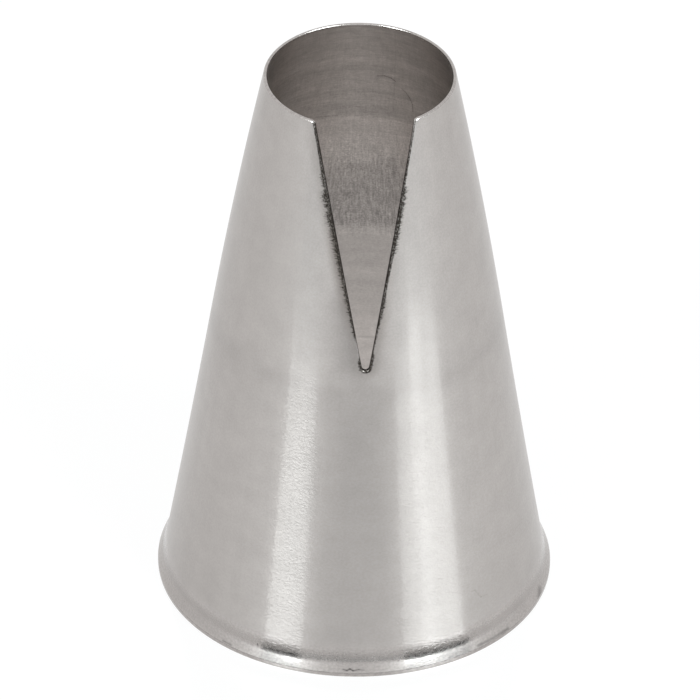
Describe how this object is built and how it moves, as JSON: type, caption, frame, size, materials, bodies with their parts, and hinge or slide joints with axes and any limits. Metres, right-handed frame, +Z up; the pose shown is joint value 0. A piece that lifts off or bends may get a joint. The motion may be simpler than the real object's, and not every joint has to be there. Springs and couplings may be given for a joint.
{
  "type": "piping nozzle",
  "caption": "Seamless tapering steel piping nozzle with a round mouth, a deep V notch down its front and a short flared foot.",
  "frame": {"origin": "centre of the foot ring's underside, on the nozzle's axis", "axes": "+Z up the axis from the foot to the mouth, -Y out through the middle of the notch, +X to the right seen from the notch"},
  "size_m": [0.035, 0.035, 0.0517],
  "materials": {
    "stainless_steel": "satin drawn stainless steel, tumbled smooth at the edges"
  },
  "bodies": {
    "root": {"nozzle_shell": "stainless_steel"}
  },
  "joints": []
}
